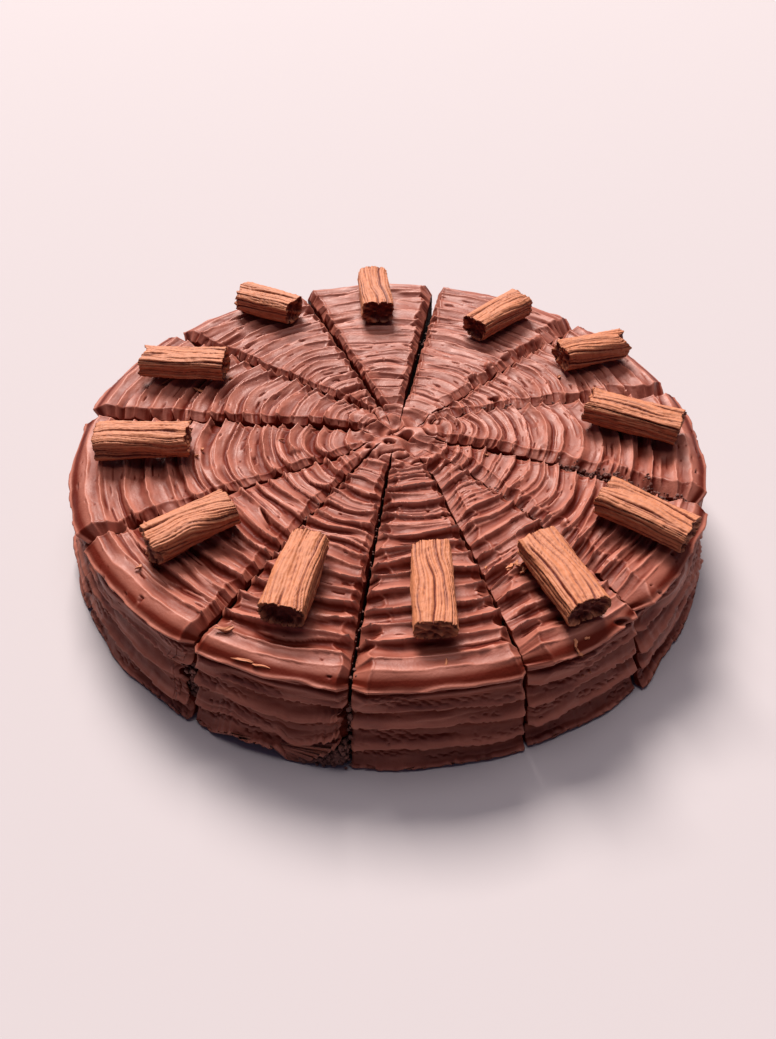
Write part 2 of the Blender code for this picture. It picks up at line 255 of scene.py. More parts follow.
def place(number, along, across, height, inset=0.0):
    """Point over a slice's profile, at the distance along it and the height square to it."""
    out = np.minimum(along / TOP_RUN, 1)
    turn = np.clip((along - TOP_RUN) / SHOULDER_RADIUS, 0, np.pi / 2)
    down = np.clip((along - SHOULDER_END) / SIDE_RUN, 0, 1)
    shoulder = shoulder_reach(number)

    edge_azimuth = azimuth_across(number, shoulder, across, inset)
    edge = reach_to(edge_azimuth, shoulder)
    tip = tip_reach(number)
    bend = 4 * np.maximum(out, 0) * (1 - out)
    wander = RIDGE_WANDER * np.sin(3 * across + along / WANDER_LENGTH + number)
    reach = tip + out * (edge - tip) + bend * (wander - RIDGE_BOWS[number] * across**2)
    azimuth = azimuth_across(number, reach, across, inset)
    top = TOP_HEIGHT + SLICE_LIFTS[number] * ease(reach, SAME_LEVEL, OWN_LEVEL) - SHOULDER_RADIUS

    flare = FOOT_RADIUS - TOP_RADIUS + foot_spread(number, across)
    radius = shoulder + (SHOULDER_RADIUS + height) * np.sin(turn) + flare * down
    on_top = out < 1
    azimuth = np.where(on_top, azimuth, edge_azimuth)
    reach = np.where(on_top, reach, reach_to(edge_azimuth, radius))
    z = top + (SHOULDER_RADIUS + height) * np.cos(turn) - down * (top - foot_height(number, across))
    x = HUB[0] + reach * np.cos(azimuth)
    y = HUB[1] + reach * np.sin(azimuth)
    return np.stack(np.broadcast_arrays(x, y, z), axis=-1)


def ridge_crests(number):
    """Where a slice's ridges stand along its profile, how high they rise and how deep each hollow is."""
    rng = np.random.default_rng(RIDGE_SEED + number)
    crests = [0.0]
    while crests[-1] < TOP_RUN:
        share = crests[-1] / TOP_RUN
        pitch = TIP_PITCH + (RIM_PITCH - TIP_PITCH) * share
        crests.append(crests[-1] + pitch * rng.uniform(1 - PITCH_SPREAD, 1 + PITCH_SPREAD))
    on_top = np.array(crests) * (TOP_RUN - BEFORE_ROLL) / crests[-1]
    shares = np.arange(1, SIDE_BANDS) + rng.uniform(-BAND_SPREAD, BAND_SPREAD, SIDE_BANDS - 1)
    on_side = LIP_RUN + (WHOLE_RUN - LIP_RUN) * shares / SIDE_BANDS
    crests = np.concatenate([on_top, [ROLL_RUN, LIP_RUN], on_side, [WHOLE_RUN]])
    rises = CREST_RISE + rng.uniform(-CREST_SPREAD, CREST_SPREAD, len(crests))
    rises[[0, -1]] = 0.0
    rises[len(on_top) - 1] += LAST_CREST_RISE
    hollows = np.full(len(crests) - 1, SIDE_HOLLOW)
    hollows[len(on_top)] = SHOULDER_HOLLOW
    hollows[len(on_top) - 1] = ROLL_HOLLOW
    hollows[: len(on_top) - 1] = TOP_HOLLOWS[number]
    return crests, rises, hollows * np.diff(crests)


# The hollows between the crests: where each is lowest, how flat its bottom is, how much both places
# and depths stray, and the thin curl of icing that stands along some crests.
SKEW = 0.62
SKEW_SPREAD = 0.22
HOLLOW_FLATNESS = 0.62
HOLLOW_SPREAD = 0.45
CREST_WAVER = 0.0005
CURL_RISE = 0.00050
CURL_AT = 0.0003
CURL_WIDTH = 0.0004


def scooped(crests, rises, depths, moved, side, waver, seed):
    """Hollows between crests: each falls steeply behind a crest and climbs slowly to the next one."""
    band = np.clip(np.searchsorted(crests, moved, side="right") - 1, 0, len(crests) - 2)
    width = np.diff(crests)[band]
    share = np.clip((moved - crests[band]) / width, 0, 1)
    skew = SKEW + SKEW_SPREAD * lumps(side / 0.030, band, seed=seed)
    near = rises[band] + waver * lumps(side / 0.009, band, seed=seed + 1)
    far = rises[band + 1] + waver * lumps(side / 0.009, band + 1, seed=seed + 1)
    depth = depths[band] * (1 + HOLLOW_SPREAD * lumps(side / 0.012, band, seed=seed + 2))
    curl = CURL_RISE * ease(lumps(side / 0.008, band, seed=seed + 3), -0.2, 0.6)
    ahead = width * (1 - share)
    height = near + (far - near) * share - depth * np.sin(np.pi * share**skew) ** HOLLOW_FLATNESS
    return height + curl * np.exp(-(((ahead - CURL_AT) / CURL_WIDTH) ** 2)), band


# The finer ridges: where the first stands, from and up to which distance the next ones follow, how
# deep the hollows between them are, and how strongly each slice shows them near its tip and rim.
FINER_COUNT = 60
FINER_START = -0.012
FINER_PITCH = (0.0016, 0.0054)
FINER_HOLLOW = 0.24
FINER_STRAY = 0.0016
FINER_SIDE_SHARE = 0.45
FINER_AT_TIP = (0.6, 0.25, 0.2, 0.45, 0.4, 0.8, 0.9, 0.5, 0.4, 0.8, 0.9, 0.6)
FINER_AT_RIM = (0.15, 0.15, 0.15, 0.1, 0.1, 0.8, 0.6, 0.15, 0.2, 0.6, 0.15, 0.1)


def on_shoulder(along):
    """0 on the top, 1 from just past the shoulder's start."""
    return ease(along, TOP_RUN - 0.004, TOP_RUN + 0.004)


def finer_ridges(number, along, side, calm, drift):
    """Height of the finer ridges between the wide ones. There are none between shoulder and lip."""
    rng = np.random.default_rng(RIDGE_SEED + 50 + number)
    crests = np.cumsum(np.append(FINER_START, rng.uniform(*FINER_PITCH, FINER_COUNT)))
    depths = FINER_HOLLOW * np.append(np.diff(crests), 0.001)
    stray = FINER_STRAY * lumps(side / 0.021, along / 0.012, seed=number + 61)
    moved = along + calm * (0.6 * drift + stray)
    height, band = scooped(crests, np.zeros(len(crests)), depths, moved, side, 0.0, 3 * number + 100)
    at_tip = FINER_AT_TIP[number]
    strength = at_tip + (FINER_AT_RIM[number] - at_tip) * ease(np.clip(along / TOP_RUN, 0, 1), 0.35, 0.75)
    shown = ease(lumps(side / 0.019, band, seed=number + 200), 0.35 - strength, 0.9 - 0.7 * strength)
    hidden = 1 - FINER_SIDE_SHARE * (along >= LIP_RUN)
    return height * shown * (1 - on_shoulder(along) * hidden)


# How far the ridges stray along the profile, and the fine grain that the comb left in them: size,
# length across the slice, length along the profile, and seed.
DRIFTS = (
    (0.0014, 0.021, 0.035, 0),
    (0.0004, 0.0065, 0.009, 31),
    (0.00015, 0.0019, 0.0025, 47),
)
COMB_GRAIN = (
    (0.00008, 0.011, 0.0009, 300),
    (0.00004, 0.004, 0.0006, 310),
)
LINE_DEPTH = 0.0007
LIP_STRAY = 0.0012
LIP_RISE = 0.0005
UNDERCUT = 0.0016
TEAR_DEPTH = 0.0004
PIT_DEPTH = 0.0010


def dragged_lines(number, along, side):
    """Depth of the short lines that the comb dragged along the ridges on top."""
    lines = ease(lumps(side / 0.0060, along / 0.0011, seed=number + 210), 0.60, 0.80)
    patches = ease(lumps(side / 0.017, along / 0.017, seed=number + 215), -0.3, 0.3)
    return LINE_DEPTH * lines * (1 - on_shoulder(along)) * patches


def lip_run(number, side):
    """Where the shoulder's lower edge runs along the profile."""
    return LIP_RUN + LIP_STRAY * lumps(side / 0.012, seed=number + 220)


def shoulder_lip(number, along, side):
    """Height of the bead along the shoulder's lower edge, and of the undercut below it."""
    past = along - lip_run(number, side)
    under = 1 + 0.5 * lumps(side / 0.016, seed=number + 230)
    undercut = UNDERCUT * under * ease(past, 0, 0.0007) * (1 - ease(past, 0.0012, 0.0042))
    return LIP_RISE * np.exp(-(((past + 0.0004) / 0.0006) ** 2)) - undercut


def torn_patches(number, along, side):
    """Depth of the patches on the side where the comb tore the icing's skin."""
    patches = ease(lumps(side / 0.014, along / 0.0030, seed=number + 320), 0.22, 0.42)
    patches = patches * ease(along - lip_run(number, side), 0, 0.002)
    swirl = lumps(side / 0.003, along / 0.003, seed=1)
    jagged = lumps(side / 0.0010 + swirl, along / 0.0007, seed=number + 330)
    return TEAR_DEPTH * patches * ease(jagged, -0.2, 0.4)


def pits(number, along, side):
    """Depth of the small pits that air bubbles left."""
    holes = ease(lumps(side / 0.0024, along / 0.0013, seed=number + 340), 0.80, 0.94)
    patches = ease(lumps(side / 0.02, along / 0.02, seed=number + 350), -0.2, 0.4)
    return PIT_DEPTH * holes * patches


def combed(number, along, side):
    """Height of the combed ridges, with the finer ridges, drag lines, lip, tears and pits in them."""
    calm = ease(along, -0.002, 0.004) * ease(WHOLE_RUN - along, 0.0005, 0.003)
    drift = 0.0
    for far, wide, long, seed in DRIFTS:
        drift = drift + far * lumps(side / wide, along / long, seed=number + seed)
    crests, rises, depths = ridge_crests(number)
    height, _ = scooped(crests, rises, depths, along + calm * drift, side, CREST_WAVER, 3 * number)
    height = height + finer_ridges(number, along, side, calm, drift)
    height -= dragged_lines(number, along, side)
    height += shoulder_lip(number, along, side)
    for rise, wide, long, seed in COMB_GRAIN:
        height += rise * lumps(along / long, side / wide, seed=number + seed) * (1 - 0.5 * on_shoulder(along))
    height -= torn_patches(number, along, side)
    return height - pits(number, along, side)


# Width and fall of the band that the knife dragged down, on a slice's right and left side, how much
# wider each slice's right one is, and how far the ridges' ends are drawn to points there.
RIGHT_EDGE = (0.0034, 0.0022)
LEFT_EDGE = (0.0019, 0.0016)
RIGHT_DRAGS = (0.8, 0.8, 1.3, 1.2, 1.0, 1.3, 1.5, 0.9, 0.6, 0.7, 0.7, 0.7)
POINTED_LEFT = (0.9, 0.5, 0.3, 0.3, 0.3, 0.3, 0.3, 0.3, 0.3, 0.5, 0.6, 0.9)
POINTED_RIGHT = 0.3
SIDE_EDGE_FALL = 0.0009
SHOULDER_WIDENING = 0.7
SHOULDER_FALL = 0.0026
WIDENS_BEFORE = 0.060
WIDENS_AFTER = 0.016
NARROWEST_EDGE = 0.0008
WIDEST_EDGE = 0.0120
WIDTH_SPREAD = 0.30
FALL_SPREAD = 0.25
SIDE_NARROWING = 0.6
BURR_RISE = 0.0003
BURR_WIDTH = 0.0006
POINT_RISE = 0.0010
POINT_LENGTH = 0.0030


def dragged_edge(along, edge):
    """Width and fall of the band that the knife has dragged down beside a cut."""
    width, fall = edge
    middle = TOP_RUN + SHOULDER_RUN / 2
    before = (middle - along) / WIDENS_BEFORE
    after = (along - middle) / WIDENS_AFTER
    shoulder = np.clip(1 - np.maximum(before, after), 0, 1)
    fall = np.where(along < middle, fall, SIDE_EDGE_FALL)
    return width * (1 + SHOULDER_WIDENING * shoulder), fall + SHOULDER_FALL * shoulder


def dragged_down(number, along, across, half, reach, height):
    """The combed height as the knife left it beside both cuts."""
    on_side = ease(along, SHOULDER_END - 0.002, SHOULDER_END + 0.003)
    top = 1 - ease(along, TOP_RUN - 0.010, TOP_RUN)
    crest = ease(height, -0.0002, 0.0009) * top
    for sign, edge in ((-1, RIGHT_EDGE), (1, LEFT_EDGE)):
        away = (1 - sign * across) * half
        width, fall = dragged_edge(along, edge)
        if sign < 0:
            width = width * RIGHT_DRAGS[number]
        seed = 2 * number + sign + 400
        width = width * (1 + WIDTH_SPREAD * lumps(along / 0.006, seed=seed))
        width = width * (1 - 0.5 * top * height / 0.001)
        width = np.clip(width * (1 - SIDE_NARROWING * on_side), NARROWEST_EDGE, WIDEST_EDGE)
        share = np.clip(away / width, 0, 1)
        here = opened(number + (sign < 0), reach)
        pointed = POINTED_LEFT[number] if sign > 0 else POINTED_RIGHT
        fall = fall * (1 + FALL_SPREAD * lumps(along / 0.008, seed=seed + 0.5)) * (1 - pointed * crest)
        kept = 1 - (1 - ease(share, 0, 1)) * here * np.clip(width / 0.006, 0.3, 0.9) * (1 - pointed)
        burr = BURR_RISE * np.exp(-(((away - width) / BURR_WIDTH) ** 2)) * (1 - on_side)
        point = POINT_RISE * pointed * crest * np.exp(-((away / POINT_LENGTH) ** 2))
        height = height * kept + here * (burr + point - fall * (1 - share) ** 1.15)
    return height - SIDE_SINK * on_side


# Marks in the icing: middle point, direction in degrees, half-length, half-width, and rise or depth.
MARKS = (
    (0.0060, -0.0026, 10, 0.0026, 0.0019, -0.0075),
    (0.0022, 0.0016, 60, 0.0026, 0.0007, -0.0026),
    (-0.0047, 0.0192, 100, 0.0018, 0.0010, -0.0032),
    (-0.0086, -0.0013, 20, 0.0030, 0.0022, 0.0009),
    (0.0197, -0.0469, 20, 0.0012, 0.0005, -0.0022),
    (0.0215, -0.0462, 60, 0.0006, 0.0006, -0.0018),
    (0.0182, -0.0490, 10, 0.0009, 0.0005, -0.0018),
    (0.0207, -0.0497, 30, 0.0007, 0.0005, -0.0018),
    (-0.0382, -0.0104, 20, 0.0024, 0.0018, 0.0013),
    (-0.0460, -0.0485, 118, 0.0040, 0.0006, -0.0026),
    (0.0764, -0.0979, 20, 0.0030, 0.0008, -0.0024),
    (0.0636, -0.0517, 60, 0.0016, 0.0012, 0.0016),
    (0.0441, 0.0243, 20, 0.0022, 0.0013, -0.0040),
    (0.0354, 0.0399, 40, 0.0030, 0.0014, 0.0015),
    (0.0440, 0.0480, 60, 0.0026, 0.0016, 0.0018),
    (0.0520, 0.0560, 30, 0.0030, 0.0013, 0.0016),
    (0.0600, 0.0630, 55, 0.0026, 0.0015, 0.0016),
    (0.0674, 0.0700, 45, 0.0030, 0.0014, 0.0013),
)
DEEPEST = 0.0052

# The smeared middle: where it ends, its height, how deep its folds and creases are, and its lumps'
# rise, size and seed.
SMEARED_FULL = 0.011
SMEARED_END = 0.023
SMEAR_HEIGHT = 0.0012
FOLD_DEPTH = 0.0028
FOLD_PITCH = 0.0100
CREASE_DEPTH = 0.0034
CREASE_PITCH = 0.0125
SMEAR_LUMPS = (
    (0.0005, 0.0034, 17),
    (0.0013, 0.008, 14),
    (0.00012, 0.0016, 15),
)


def smeared(x, y):
    """Height of the folds, creases and lumps in the middle, where the icing was smeared together."""
    folded = ease(lumps(x / 0.010, y / 0.010, seed=26), -0.35, 0.35)
    folds = (x + 0.7 * y) / FOLD_PITCH + 0.9 * lumps(x / 0.009, y / 0.012, seed=21)
    creases = (y - 0.8 * x) / CREASE_PITCH + 1.2 * lumps(x / 0.009, y / 0.009, seed=13)
    height = SMEAR_HEIGHT - FOLD_DEPTH * folded * np.abs(np.sin(np.pi * folds)) ** 0.8
    height -= CREASE_DEPTH * (1 - folded) * (1 - np.abs(np.sin(np.pi * creases))) ** 4
    for rise, size, seed in SMEAR_LUMPS:
        height += rise * lumps(x / size, y / size, seed=seed)
    return height


def squared_shoulder(along):
    """How far the icing fills the shoulder out, to the tighter radius of its corner."""
    turn = np.clip((along - TOP_RUN) / SHOULDER_RADIUS, 0, np.pi / 2)
    turn = np.minimum(turn, np.pi / 2 - turn)
    aside = SHOULDER_RADIUS - SHOULDER_CORNER
    middle = aside * (np.sin(turn) + np.cos(turn))
    corner = middle + np.sqrt(np.maximum(middle**2 - 2 * aside**2 + SHOULDER_CORNER**2, 0))
    on_flat = turn < np.arctan2(aside, SHOULDER_RADIUS)
    return np.where(on_flat, SHOULDER_RADIUS / np.cos(turn), corner) - SHOULDER_RADIUS


def icing_height(number, along, across, half, x, y):
    """Height of the icing's surface over a slice's profile."""
    reach = np.hypot(x - HUB[0], y - HUB[1])
    height = combed(number, along, across * half)
    height = dragged_down(number, along, across, half, reach, height) + squared_shoulder(along)
    strayed = reach + 0.004 * lumps(x / 0.006, y / 0.006, seed=9)
    height += (1 - ease(strayed, SMEARED_FULL, SMEARED_END)) * (smeared(x, y) - height)
    for mark_x, mark_y, direction, length, width, rise in MARKS:
        turn = np.radians(direction)
        ahead = (x - mark_x) * np.cos(turn) + (y - mark_y) * np.sin(turn)
        beside = (y - mark_y) * np.cos(turn) - (x - mark_x) * np.sin(turn)
        height += rise * np.exp(-(((ahead / length) ** 2 + (beside / width) ** 2) ** 2))
    return np.maximum(height, -DEEPEST)


def net(name, points, finish, hollows=None):
    """A closed piece: a sphere's net with its rings of vertices moved to the rows of points."""
    rows, columns = points.shape[:2]
    bm = bmesh.new()
    bmesh.ops.create_uvsphere(bm, u_segments=columns, v_segments=rows + 1, radius=1)
    mesh = bpy.data.meshes.new(name)
    bm.to_mesh(mesh)
    spots = np.empty(3 * len(mesh.vertices), np.float32)
    mesh.vertices.foreach_get("co", spots)
    x, y, z = spots.reshape(-1, 3).astype(float).T
    ring = np.rint(np.arctan2(np.hypot(x, y), z) / np.pi * (rows + 1)).astype(int)
    column = np.rint(np.arctan2(y, x) / (2 * np.pi) * columns).astype(int) % columns
    moved = points[np.clip(ring - 1, 0, rows - 1), column]
    moved[ring == 0] = points[0].mean(axis=0)
    moved[ring == rows + 1] = points[-1].mean(axis=0)
    mesh.vertices.foreach_set("co", moved.astype(np.float32).ravel())
    bm.clear()
    bm.from_mesh(mesh)
    bmesh.ops.recalc_face_normals(bm, faces=bm.faces)
    bm.to_mesh(mesh)
    bm.free()
    # The hollows become the mesh's hollow attribute: how much painted shade each point gets.
    if hollows is not None:
        depth = mesh.attributes.new("hollow", "FLOAT", "POINT")
        depth.data.foreach_set("value", hollows[np.clip(ring - 1, 0, rows - 1), column].astype(np.float32))
    mesh.shade_smooth()
    mesh.materials.append(finish)
    piece = bpy.data.objects.new(name, mesh)
    bpy.context.scene.collection.objects.link(piece)
    return piece


def shader(name, roughness):
    """A new material and its node tree's parts: (material, nodes, links, Principled BSDF)."""
    made = bpy.data.materials.new(name)
    made.use_nodes = True
    nodes = made.node_tree.nodes
    principled = nodes["Principled BSDF"]
    principled.inputs["Roughness"].default_value = roughness
    return made, nodes, made.node_tree.links, principled


def grain(nodes, links, size, detail):
    """A noise texture over the object's coordinates, with lumps of about this size in metres."""
    place_at = nodes.new("ShaderNodeTexCoord")
    noise = nodes.new("ShaderNodeTexNoise")
    noise.inputs["Scale"].default_value = 1 / size
    noise.inputs["Detail"].default_value = detail
    links.new(place_at.outputs["Object"], noise.inputs["Vector"])
    return noise.outputs["Fac"]


def painted_shade_attribute(nodes, links, size, share):
    """The piece's hollow attribute, which holds its painted shade, and the same with this share of grain of
    this size added.
    """
    depth = nodes.new("ShaderNodeAttribute")
    depth.attribute_name = "hollow"
    spread = nodes.new("ShaderNodeMath")
    spread.operation = "MULTIPLY_ADD"
    spread.inputs[1].default_value = share
    links.new(grain(nodes, links, size, 4), spread.inputs[0])
    links.new(depth.outputs["Fac"], spread.inputs[2])
    return depth.outputs["Fac"], spread.outputs[0]


def between(nodes, links, value, low, high):
    """The value's middle range mapped to the range from low to high."""
    ranged = nodes.new("ShaderNodeMapRange")
    ranged.inputs["From Min"].default_value = 0.3
    ranged.inputs["From Max"].default_value = 0.7
    ranged.inputs["To Min"].default_value = low
    ranged.inputs["To Max"].default_value = high
    links.new(value, ranged.inputs["Value"])
    return ranged.outputs["Result"]


def painted(nodes, links, principled, value, first, second):
    """Base colour that goes from the first to the second with the value."""
    mix = nodes.new("ShaderNodeMix")
    mix.data_type = "RGBA"
    mix.inputs[6].default_value = (*first, 1)
    mix.inputs[7].default_value = (*second, 1)
    links.new(value, mix.inputs["Factor"])
    links.new(mix.outputs[2], principled.inputs["Base Color"])


def rough_skin(nodes, links, principled, height, depth):
    """Bump of this depth in metres from the height."""
    bump = nodes.new("ShaderNodeBump")
    bump.inputs["Strength"].default_value = 1.0
    bump.inputs["Distance"].default_value = depth
    links.new(height, bump.inputs["Height"])
    links.new(bump.outputs["Normal"], principled.inputs["Normal"])


# Icing colours: a lighter colour painted on the crests, and dark painted shade in the hollows, on the
# shoulder's band and low on the side.
ICING_PAINTED_LIT_CREST = (0.390, 0.126, 0.082)
ICING_PAINTED_SHADED_HOLLOW = (0.100, 0.011, 0.005)
SHEEN_TINT = (1.0, 0.84, 0.80, 1)

icing, nodes, links, principled = shader("icing", 0.42)
hollow, shade = painted_shade_attribute(nodes, links, 0.006, 0.25)
painted(nodes, links, principled, shade, ICING_PAINTED_LIT_CREST, ICING_PAINTED_SHADED_HOLLOW)
roughness = between(nodes, links, grain(nodes, links, 0.005, 3), 0.42, 0.58)
links.new(roughness, principled.inputs["Roughness"])
# The specular level drops where the painted shade is deep, painting out the reflections in hollows.
links.new(between(nodes, links, hollow, 0.36, 0.10), principled.inputs["Specular IOR Level"])
principled.inputs["Specular Tint"].default_value = SHEEN_TINT
rough_skin(nodes, links, principled, grain(nodes, links, 0.0009, 5), 0.00012)

# How much painted shade the icing gets: even icing, the share of its relief over the rows around
# it, which paints crests lighter and hollows darker, and the painted shade that the shoulder's band
# and the side below the lip add.
EVEN_SHADE = 0.32
RELIEF_SHADE = 1.2
BAND_SHADE = 0.75
SIDE_SHADE = 0.10


def blurred(height, reach):
    """The heights averaged over this many rows on either side."""
    padded = np.pad(height, ((reach + 1, reach), (0, 0)), mode="edge")
    total = np.cumsum(padded, axis=0)
    return (total[2 * reach + 1 :] - total[: -2 * reach - 1]) / (2 * reach + 1)


def painted_icing_shade(along, height):
    """How much painted shade each point of the icing gets: 0 on a crest, 1 in a deep hollow."""
    relief = 0.6 * (height - blurred(height, 9)) / 0.0012 + 0.25 * (height - blurred(height, 3)) / 0.0005
    # The shoulder's band and the side below the lip get extra painted shade.
    band = ease(along, TOP_RUN + 0.28 * SHOULDER_RUN, TOP_RUN + 0.50 * SHOULDER_RUN)
    band *= 1 - ease(along, LIP_RUN - 0.05 * SHOULDER_RUN, LIP_RUN)
    below = ease(along, LIP_RUN, LIP_RUN + 0.004)
    return np.clip(EVEN_SHADE - RELIEF_SHADE * relief + BAND_SHADE * band + SIDE_SHADE * below, 0, 1)


# The surface stands back raggedly from the cuts. The ninth slice is chipped and worn beside its
# left cut, and the tenth has a larger chip there, low on its side.
RAGGED_EDGE = 0.00025
CHIP_DEPTH = 0.0018
WEAR_DEPTH = 0.0006
LARGE_CHIP_AT = TOP_RUN + 0.026
LARGE_CHIP_DEPTH = 0.0048
LARGE_CHIP_LENGTH = 0.0070


def worn_back(number, along, across):
    """How far the icing's surface stands back from its slice's cuts."""
    ragged = RAGGED_EDGE * (1 + lumps(along / 0.0023, across, seed=number + 800))
    jagged = 1 + 0.5 * lumps(along / 0.0040, seed=number + 805)
    jagged = jagged + 0.4 * lumps(along / 0.0014, seed=number + 806)
    if number == BROKEN_SLICE:
        chipped = ease(along, TOP_RUN + 0.018, TOP_RUN + 0.026) * ease(across, 0.5, 1.0)
        worn = ease(along, 0.035, 0.070) * (1 - ease(along, 0.085, TOP_RUN)) * ease(across, 0.90, 1.0)
        return ragged + (CHIP_DEPTH * chipped + WEAR_DEPTH * worn) * jagged
    if number == BROKEN_SLICE + 1:
        middle = LARGE_CHIP_AT + 0.004 * lumps(across / 0.02, seed=7)
        chipped = np.exp(-(((along - middle) / LARGE_CHIP_LENGTH) ** 4)) * ease(across, 0.55, 1.0)
        return ragged + LARGE_CHIP_DEPTH * chipped * jagged
    return ragged


# The sticks lie on the icing: middle point, length, direction in degrees, width and height.
STICKS = (
    (-0.0583, 0.0914, 0.0328, 152.8, 0.0158, 0.0115),
    (-0.0070, 0.0982, 0.0375, 95.1, 0.0156, 0.0118),
    (0.0499, 0.0811, 0.0345, 44.7, 0.0152, 0.0115),
    (0.0896, 0.0519, 0.0352, 20.5, 0.0144, 0.0115),
    (0.0973, 0.0015, 0.0395, 155.5, 0.0154, 0.0115),
    (0.0910, -0.0559, 0.0360, 141.1, 0.0162, 0.0118),
    (0.0568, -0.0858, 0.0372, 111.6, 0.0164, 0.0112),
    (0.0140, -0.0904, 0.0388, 90.1, 0.0152, 0.0095),
    (-0.0313, -0.0864, 0.0370, 78.1, 0.0158, 0.0108),
    (-0.0712, -0.0624, 0.0352, 38.2, 0.0150, 0.0116),
    (-0.0962, -0.0124, 0.0386, 2.8, 0.0156, 0.0115),
    (-0.0890, 0.0400, 0.0380, 175.4, 0.0156, 0.0115),
)
PRESSED_INTO = 0.0003
PRESSED_RIM = 0.0005


def pressed(points, number):
    """The icing's points, pushed down to the underside of the slice's stick where it lies on them."""
    x, y, length, direction, width, _ = STICKS[number]
    turn = np.radians(direction)
    ahead = (points[..., 0] - x) * np.cos(turn) + (points[..., 1] - y) * np.sin(turn)
    beside = (points[..., 1] - y) * np.cos(turn) - (points[..., 0] - x) * np.sin(turn)
    past = np.maximum(np.abs(ahead) - length / 2, np.abs(beside) - width / 2)
    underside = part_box(f"stick_{number + 1:02d}")[0].z + PRESSED_INTO
    points[..., 2] = np.minimum(points[..., 2], underside + np.maximum(past - PRESSED_RIM, 0))
    return points


outer_share = np.linspace(-1, 1, OUTER_COLUMNS)
outer_across = np.tanh(EDGE_CROWDING * outer_share) / np.tanh(EDGE_CROWDING)
wall_share = np.arange(1, WALL_COLUMNS + 1) / (WALL_COLUMNS + 1)
inner_across = np.linspace(1, -1, INNER_COLUMNS)
surface = []
for number in range(SLICES):
    shoulder = shoulder_reach(number)
    tip = tip_reach(number)
    edge = reach_to(azimuth_across(number, shoulder, outer_across), shoulder)
    hub_reach = np.linspace(HUB_REACH, tip, HUB_ROWS, endpoint=False)[:, None]
    before = TOP_RUN * (hub_reach - tip) / (edge - tip)
    after = np.linspace(0, WHOLE_RUN, PROFILE_ROWS)[:, None] * np.ones(OUTER_COLUMNS)
    along = np.vstack([before, after])
    run = np.where(along < 0, along * (edge - tip) / TOP_RUN, along)
    half = half_width(number, np.minimum(tip + run, TOP_RADIUS))
    x, y, _ = place(number, along, outer_across, np.zeros(along.shape)).transpose(2, 0, 1)
    height = icing_height(number, along, outer_across, half, x, y)
    ragged = worn_back(number, along, outer_across)
    outer = pressed(place(number, along, outer_across, height, ragged), number)
    surface.append(outer.reshape(-1, 3))
    left_depth = height[:, -1:] + (-ICING_THICKNESS - height[:, -1:]) * wall_share
    right_depth = height[:, :1] + (-ICING_THICKNESS - height[:, :1]) * wall_share[::-1]
    left_along = along[:, -1:] * np.ones(WALL_COLUMNS)
    right_along = along[:, :1] * np.ones(WALL_COLUMNS)
    crumbly = RAGGED_EDGE * (1 + lumps(left_along / 0.0018, left_depth / 0.0015, seed=number + 820))
    left_inset = ragged[:, -1:] + crumbly - RAGGED_EDGE
    left = place(number, left_along, np.ones(WALL_COLUMNS), left_depth, left_inset)
    right = place(number, right_along, -np.ones(WALL_COLUMNS), right_depth, crumbly)
    below = np.linspace(along[:, -1], along[:, 0], INNER_COLUMNS, axis=1)
    under = place(number, below, inner_across, -ICING_THICKNESS * np.ones(below.shape))
    points = np.hstack([outer, left, under, right])
    # The cut walls and the underside get full painted shade; the outer skin gets painted shade from its
    # relief.
    hollows = np.ones(points.shape[:2])
    hollows[:, :OUTER_COLUMNS] = painted_icing_shade(along, height)
    piece = net(f"icing_shell_{number + 1:02d}", points, icing, hollows)
    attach(piece, "root")
    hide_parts(f"icing_{number + 1:02d}")

# Sponge: the dark, crumbly chocolate cake of each slice, baked in one round and cut by the knife.
# It shows in the open cuts and at the ninth slice's broken corner. Each slice is a sphere's net,
# drawn out into a wedge.

FIT_GAP = 0.0003
SPONGE_INSET = 0.0003
SPONGE_DARK = (0.014, 0.0045, 0.004)
SPONGE_PALE = (0.052, 0.018, 0.013)
CRUMB_DEPTH = 0.0012
SPONGE_WALL = 18
SPONGE_TOP = 20
SPONGE_ROWS = 56
SPONGE_END_ROWS = 16
LAST_RING = 0.03

sponge, nodes, links, principled = shader("sponge", 0.85)
crumb = between(nodes, links, grain(nodes, links, 0.0022, 5), 0, 1)
painted(nodes, links, principled, crumb, SPONGE_DARK, SPONGE_PALE)
rough_skin(nodes, links, principled, grain(nodes, links, 0.0012, 6), 0.0006)

